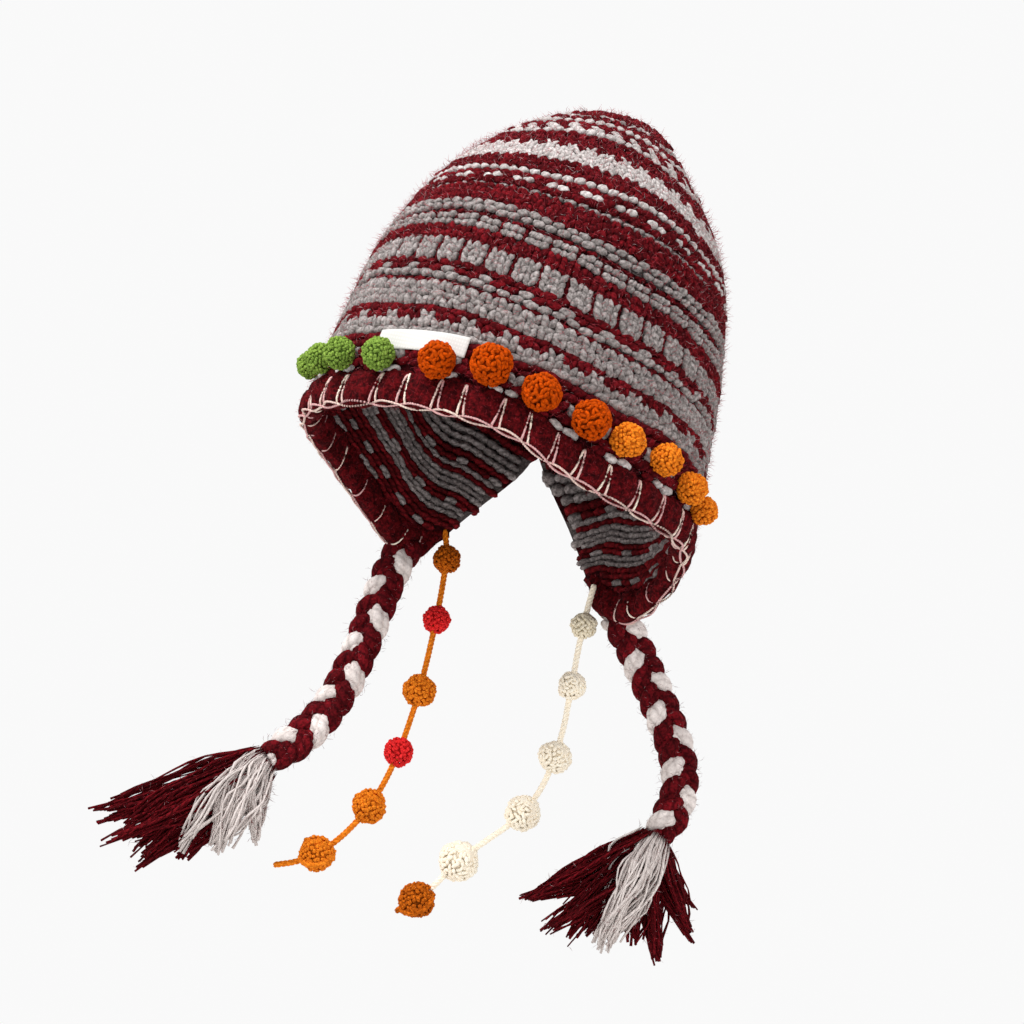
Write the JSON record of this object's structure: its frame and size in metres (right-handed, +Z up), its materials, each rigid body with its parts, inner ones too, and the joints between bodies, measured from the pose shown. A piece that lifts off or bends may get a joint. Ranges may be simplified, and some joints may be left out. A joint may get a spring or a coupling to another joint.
{
  "type": "earflap hat",
  "caption": "Knitted earflap hat with a blanket-stitched border, pompoms, braided ties with tassels and strings of yarn balls.",
  "frame": {"origin": "centre of the ring where the hat's brow grips a head", "axes": "+Z up through the crown, -Y towards the brow, +X towards the wearer's left"},
  "size_m": [0.2808, 0.2032, 0.4135],
  "materials": {
    "striped_knit": "chunky knit in grey and maroon wool stripes, matt and fuzzy",
    "border_knit": "thick felted maroon knit, matt",
    "label_cloth": "white woven tape, matt",
    "moss_yarn": "matt looped wool yarn",
    "rust_yarn": "matt looped wool yarn",
    "amber_yarn": "matt looped wool yarn",
    "braid_yarn": "matt wool yarn, two maroon strands and one off-white",
    "umber_yarn": "matt looped wool yarn",
    "red_yarn": "matt looped wool yarn",
    "cream_yarn": "matt looped wool yarn",
    "oat_yarn": "matt looped wool yarn"
  },
  "bodies": {
    "root": {"knit_crown": "striped_knit", "border_band": "border_knit", "label_tab": "label_cloth", "pompom_01": "moss_yarn", "pompom_02": "moss_yarn", "pompom_03": "moss_yarn", "pompom_04": "moss_yarn", "pompom_05": "rust_yarn", "pompom_06": "rust_yarn", "pompom_07": "rust_yarn", "pompom_08": "rust_yarn", "pompom_09": "amber_yarn", "pompom_10": "amber_yarn", "pompom_11": "amber_yarn", "pompom_12": "amber_yarn", "right_braid": "braid_yarn", "right_tassel": "braid_yarn", "right_string": "amber_yarn", "right_ball_1": "umber_yarn", "right_ball_2": "red_yarn", "right_ball_3": "amber_yarn", "right_ball_4": "red_yarn", "right_ball_5": "amber_yarn", "right_ball_6": "amber_yarn", "left_braid": "braid_yarn", "left_tassel": "braid_yarn", "left_string": "cream_yarn", "left_ball_1": "oat_yarn", "left_ball_2": "cream_yarn", "left_ball_3": "cream_yarn", "left_ball_4": "cream_yarn", "left_ball_5": "cream_yarn", "left_ball_6": "umber_yarn"}
  },
  "joints": []
}
